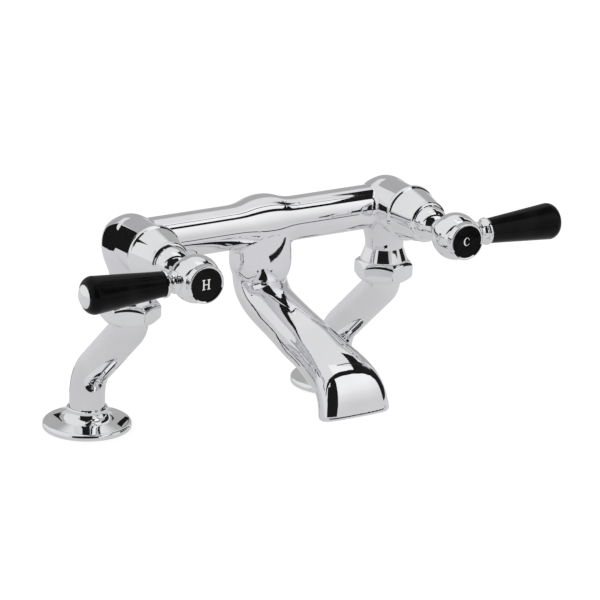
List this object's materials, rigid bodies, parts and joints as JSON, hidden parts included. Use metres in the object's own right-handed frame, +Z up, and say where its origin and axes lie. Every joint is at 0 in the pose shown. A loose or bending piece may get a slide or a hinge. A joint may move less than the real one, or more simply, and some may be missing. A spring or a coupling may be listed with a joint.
{
  "type": "deck-mounted bath filler tap",
  "caption": "Deck-mounted bath filler with a horizontal cross tube, lever valves at its ends, a fixed down-turned spout and swivelling cranked legs.",
  "frame": {"origin": "on the deck surface, midway between the two tap holes", "axes": "+Z up out of the deck, +X along the cross tube from the hot valve to the cold valve, -Y towards the bath"},
  "size_m": [0.3312, 0.2064, 0.2081],
  "materials": {
    "chrome_plate": "polished chromium plate on cast, turned and drawn brass",
    "bare_brass": "machined, bare",
    "stainless_steel": "plain stainless steel",
    "ceramic": "lapped alumina ceramic, opaque",
    "black_grip": "smooth glossy black",
    "black_enamel": "glossy black with white hot and cold letters",
    "black_rubber": "moulded black rubber",
    "fibre_washer": "red sealing fibre"
  },
  "bodies": {
    "tap": {"body_casting": "chrome_plate", "spout": "chrome_plate", "spout_washer": "fibre_washer", "hot_bonnet": "chrome_plate", "hot_cartridge_body": "bare_brass", "hot_fixed_disc": "ceramic", "hot_seat_washer": "black_rubber", "hot_union_nut": "chrome_plate", "hot_union_washer": "fibre_washer", "cold_bonnet": "chrome_plate", "cold_cartridge_body": "bare_brass", "cold_fixed_disc": "ceramic", "cold_seat_washer": "black_rubber", "cold_union_nut": "chrome_plate", "cold_union_washer": "fibre_washer"},
    "hot_lever": {"hot_spindle": "bare_brass", "hot_moving_disc": "ceramic", "hot_spindle_seal": "black_rubber", "hot_spindle_clip": "stainless_steel", "hot_hub": "chrome_plate", "hot_hub_screw": "stainless_steel", "hot_index_ring": "chrome_plate", "hot_index_disc": "black_enamel", "hot_lever_ferrule": "chrome_plate", "hot_lever_rod": "stainless_steel", "hot_lever_grip": "black_grip", "hot_lever_end_button": "chrome_plate"},
    "cold_lever": {"cold_spindle": "bare_brass", "cold_moving_disc": "ceramic", "cold_spindle_seal": "black_rubber", "cold_spindle_clip": "stainless_steel", "cold_hub": "chrome_plate", "cold_hub_screw": "stainless_steel", "cold_index_ring": "chrome_plate", "cold_index_disc": "black_enamel", "cold_lever_ferrule": "chrome_plate", "cold_lever_rod": "stainless_steel", "cold_lever_grip": "black_grip", "cold_lever_end_button": "chrome_plate"},
    "hot_leg": {"hot_leg_pipe": "chrome_plate", "hot_retaining_ring": "stainless_steel", "hot_deck_flange": "chrome_plate", "hot_deck_gasket": "black_rubber", "hot_rubber_washer": "black_rubber", "hot_clamp_washer": "stainless_steel", "hot_backnut": "bare_brass"},
    "cold_leg": {"cold_leg_pipe": "chrome_plate", "cold_retaining_ring": "stainless_steel", "cold_deck_flange": "chrome_plate", "cold_deck_gasket": "black_rubber", "cold_rubber_washer": "black_rubber", "cold_clamp_washer": "stainless_steel", "cold_backnut": "bare_brass"}
  },
  "joints": [
    {"name": "hot_lever_turn", "type": "hinge", "parent": "tap", "child": "hot_lever", "pos_m": [-0.09, -0.136, 0.1384], "axis": [0, -1, 0], "range_deg": [0, 90]},
    {"name": "cold_lever_turn", "type": "hinge", "parent": "tap", "child": "cold_lever", "pos_m": [0.09, -0.136, 0.1384], "axis": [0, 1, 0], "range_deg": [0, 90]},
    {"name": "hot_leg_swivel", "type": "hinge", "parent": "tap", "child": "hot_leg", "pos_m": [-0.09, -0.056, 0.092], "axis": [0, 0, 1], "range_deg": [-90, 90]},
    {"name": "cold_leg_swivel", "type": "hinge", "parent": "tap", "child": "cold_leg", "pos_m": [0.09, -0.056, 0.092], "axis": [0, 0, 1], "range_deg": [-90, 90]}
  ]
}
